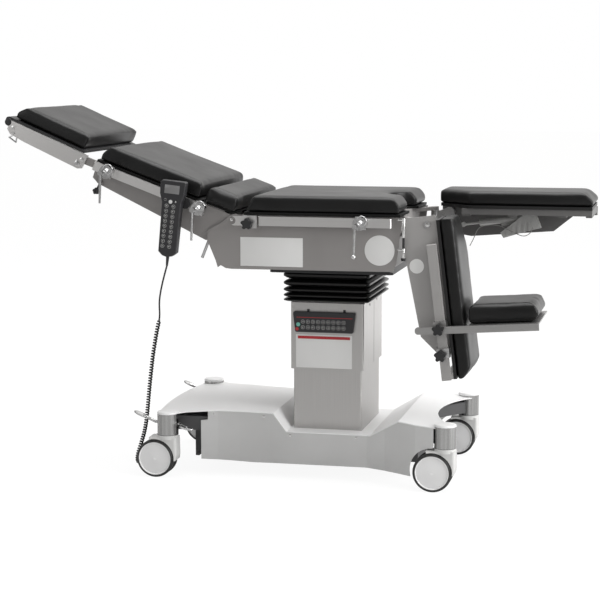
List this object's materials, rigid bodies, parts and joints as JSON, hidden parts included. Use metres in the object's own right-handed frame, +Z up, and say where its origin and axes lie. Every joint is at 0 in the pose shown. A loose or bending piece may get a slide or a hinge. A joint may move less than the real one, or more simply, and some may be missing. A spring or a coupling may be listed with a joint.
{
  "type": "operating table",
  "caption": "Electric operating table on a castored base, with a telescopic column, tilting padded sections, split legs and a corded hand control.",
  "frame": {"origin": "on the floor, under the axis of the lifting column", "axes": "+Z up, +X towards the foot end, -Y the side with the column keypad"},
  "size_m": [1.9032, 0.6344, 1.2027],
  "materials": {
    "base_cover": "satin, off-white",
    "skirt": "satin, pale grey",
    "chassis": "matt, dark grey",
    "steel": "brushed",
    "stainless": "fine brushed, vertical grain",
    "panel": "fine texture, mid grey",
    "black": "matt, black",
    "bellows": "matt, black, folded",
    "pad": "fine-grained coated upholstery, black",
    "board": "black laminate",
    "fork": "smooth, off-white",
    "wheel": "grey disc, thin dark tread",
    "handset": "fine texture, dark grey",
    "cord": "matt, black",
    "keypad": "satin, light grey membrane"
  },
  "bodies": {
    "base": {"base_frame": "chassis", "base_cover": "base_cover", "base_skirts": "skirt", "column_lower": "stainless", "cord_lead": "cord", "cord_coil": "cord", "cord_plug": "black"},
    "mid_stage": {"column_mid": "steel"},
    "sleeve": {"column_sleeve": "stainless", "column_keypad": "keypad", "bellows": "bellows"},
    "cross": {"gimbal": "steel"},
    "seat": {"seat_frame": "panel", "seat_board": "board", "seat_pad": "pad", "seat_rails": "stainless", "seat_flange": "black", "seat_sides": "panel", "clamp_seat": "steel"},
    "back": {"back_frame": "panel", "back_board": "board", "back_pad": "pad", "back_rails": "stainless", "clamp_back": "steel", "clamp_head": "steel", "handset_hook": "black"},
    "lumbar": {"lumbar_bridge": "board", "lumbar_pad": "pad"},
    "head": {"head_frame": "stainless", "head_board": "black", "head_pad": "pad"},
    "head_handle": {"head_release": "steel"},
    "foot_rest": {"foot_plate": "stainless", "foot_pad": "pad"},
    "leg_clamp": {"leg_clamp": "steel"},
    "handset": {"handset": "handset"},
    "knuckle_near": {"leg_knuckle_near": "steel"},
    "leg_near": {"leg_frame_near": "panel", "leg_pad_near": "pad", "leg_strut_near": "black"},
    "knuckle_far": {"leg_knuckle_far": "steel"},
    "leg_far": {"leg_frame_far": "panel", "leg_pad_far": "pad", "leg_strut_far": "black"},
    "fork_rear_near": {"fork_rear_near": "fork"},
    "wheel_rear_near": {"wheel_rear_near": "wheel"},
    "fork_rear_far": {"fork_rear_far": "fork"},
    "wheel_rear_far": {"wheel_rear_far": "wheel"},
    "fork_front_near": {"fork_front_near": "fork"},
    "wheel_front_near": {"wheel_front_near": "wheel"},
    "fork_front_far": {"fork_front_far": "fork"},
    "wheel_front_far": {"wheel_front_far": "wheel"},
    "pedal_near": {"pedal_near": "steel"},
    "pedal_far": {"pedal_far": "steel"},
    "lever_seat": {"lever_seat": "steel"},
    "lever_back": {"lever_back": "steel"},
    "lever_head": {"lever_head": "steel"},
    "knob_seat": {"knob_seat": "black"},
    "knob_foot": {"knob_foot": "black"},
    "knob_leg": {"knob_leg": "black"}
  },
  "joints": [
    {"name": "column_lift", "type": "slide", "parent": "base", "child": "sleeve", "axis": [0, 0, 1], "range_m": [-0.12, 0.1], "deforming": ["cord_lead", "cord_coil"]},
    {"name": "stage_lift", "type": "slide", "parent": "base", "child": "mid_stage", "axis": [0, 0, 1], "range_m": [-0.06, 0.05]},
    {"name": "trendelenburg", "type": "hinge", "parent": "sleeve", "child": "cross", "pos_m": [0, 0, 0.65], "axis": [0, 1, 0], "range_deg": [-15, 15], "deforming": ["bellows"]},
    {"name": "lateral_tilt", "type": "hinge", "parent": "cross", "child": "seat", "pos_m": [0, 0, 0.65], "axis": [1, 0, 0], "range_deg": [-15, 15]},
    {"name": "back_tilt", "type": "hinge", "parent": "seat", "child": "back", "pos_m": [-0.286, 0, 0.848], "axis": [0, 1, 0], "range_deg": [-38, 18]},
    {"name": "lumbar_lift", "type": "slide", "parent": "back", "child": "lumbar", "axis": [0.3469, 0, 0.9379], "range_m": [0, 0.05]},
    {"name": "head_tilt", "type": "hinge", "parent": "back", "child": "head", "pos_m": [-0.79374, 0, 1.03475], "axis": [0, 1, 0], "range_deg": [-32, 40]},
    {"name": "head_release_turn", "type": "hinge", "parent": "head", "child": "head_handle", "pos_m": [-1.02934, -0.25, 1.11955], "axis": [0, 1, 0], "range_deg": [-8, 8]},
    {"name": "handset_lift", "type": "slide", "parent": "back", "child": "handset", "axis": [0, 0, 1], "range_m": [0, 0.05]},
    {"name": "leg_swing_near", "type": "hinge", "parent": "seat", "child": "knuckle_near", "pos_m": [0.29, -0.232, 0.83], "axis": [0, 0, -1], "range_deg": [0, 60]},
    {"name": "leg_drop_near", "type": "hinge", "parent": "knuckle_near", "child": "leg_near", "pos_m": [0.34, -0.25, 0.844], "axis": [0, 1, 0], "range_deg": [-98, 7]},
    {"name": "leg_swing_far", "type": "hinge", "parent": "seat", "child": "knuckle_far", "pos_m": [0.29, 0.232, 0.83], "axis": [0, 0, 1], "range_deg": [0, 60]},
    {"name": "leg_drop_far", "type": "hinge", "parent": "knuckle_far", "child": "leg_far", "pos_m": [0.34, 0.25, 0.844], "axis": [0, 1, 0], "range_deg": [-15, 90]},
    {"name": "foot_slide", "type": "slide", "parent": "leg_near", "child": "foot_rest", "axis": [0.1219, 0, -0.9925], "range_m": [-0.15, 0.04]},
    {"name": "leg_clamp_slide", "type": "slide", "parent": "leg_near", "child": "leg_clamp", "axis": [0.1219, 0, -0.9925], "range_m": [-0.005, 0.045]},
    {"name": "swivel_rear_near", "type": "hinge", "parent": "base", "child": "fork_rear_near", "pos_m": [-0.509, -0.272, 0.12], "axis": [0, 0, 1], "continuous": true},
    {"name": "roll_rear_near", "type": "hinge", "parent": "fork_rear_near", "child": "wheel_rear_near", "pos_m": [-0.547, -0.272, 0.0625], "axis": [0, 1, 0], "continuous": true},
    {"name": "swivel_rear_far", "type": "hinge", "parent": "base", "child": "fork_rear_far", "pos_m": [-0.509, 0.272, 0.12], "axis": [0, 0, 1], "continuous": true},
    {"name": "roll_rear_far", "type": "hinge", "parent": "fork_rear_far", "child": "wheel_rear_far", "pos_m": [-0.547, 0.272, 0.0625], "axis": [0, 1, 0], "continuous": true},
    {"name": "swivel_front_near", "type": "hinge", "parent": "base", "child": "fork_front_near", "pos_m": [0.407, -0.272, 0.12], "axis": [0, 0, 1], "continuous": true},
    {"name": "roll_front_near", "type": "hinge", "parent": "fork_front_near", "child": "wheel_front_near", "pos_m": [0.369, -0.272, 0.0625], "axis": [0, 1, 0], "continuous": true},
    {"name": "swivel_front_far", "type": "hinge", "parent": "base", "child": "fork_front_far", "pos_m": [0.407, 0.272, 0.12], "axis": [0, 0, 1], "continuous": true},
    {"name": "roll_front_far", "type": "hinge", "parent": "fork_front_far", "child": "wheel_front_far", "pos_m": [0.369, 0.272, 0.0625], "axis": [0, 1, 0], "continuous": true},
    {"name": "pedal_near_rock", "type": "hinge", "parent": "base", "child": "pedal_near", "pos_m": [-0.509, -0.272, 0.178], "axis": [0, 1, 0], "range_deg": [-8, 8]},
    {"name": "pedal_far_rock", "type": "hinge", "parent": "base", "child": "pedal_far", "pos_m": [-0.509, 0.272, 0.178], "axis": [0, 1, 0], "range_deg": [-8, 8]},
    {"name": "lever_seat_turn", "type": "hinge", "parent": "seat", "child": "lever_seat", "pos_m": [0.121, -0.3, 0.838], "axis": [0, 1, 0], "range_deg": [-75, 0]},
    {"name": "lever_back_turn", "type": "hinge", "parent": "back", "child": "lever_back", "pos_m": [-0.40705, -0.3, 0.88105], "axis": [0, 1, 0], "range_deg": [-75, 0]},
    {"name": "lever_head_turn", "type": "hinge", "parent": "back", "child": "lever_head", "pos_m": [-0.71468, -0.3, 0.99485], "axis": [0, 1, 0], "range_deg": [-75, 0]},
    {"name": "knob_seat_turn", "type": "hinge", "parent": "seat", "child": "knob_seat", "pos_m": [-0.233, -0.29, 0.839], "axis": [0, 1, 0], "continuous": true},
    {"name": "knob_foot_turn", "type": "hinge", "parent": "foot_rest", "child": "knob_foot", "pos_m": [0.38568, -0.305, 0.52116], "axis": [0, 1, 0], "continuous": true},
    {"name": "knob_leg_turn", "type": "hinge", "parent": "leg_clamp", "child": "knob_leg", "pos_m": [0.39195, -0.295, 0.4373], "axis": [0, 1, 0], "continuous": true}
  ],
  "couplings": [
    {"joint": "stage_lift", "follows": "column_lift", "ratio": 0.5},
    {"joint": "pedal_far_rock", "follows": "pedal_near_rock", "ratio": 1}
  ]
}
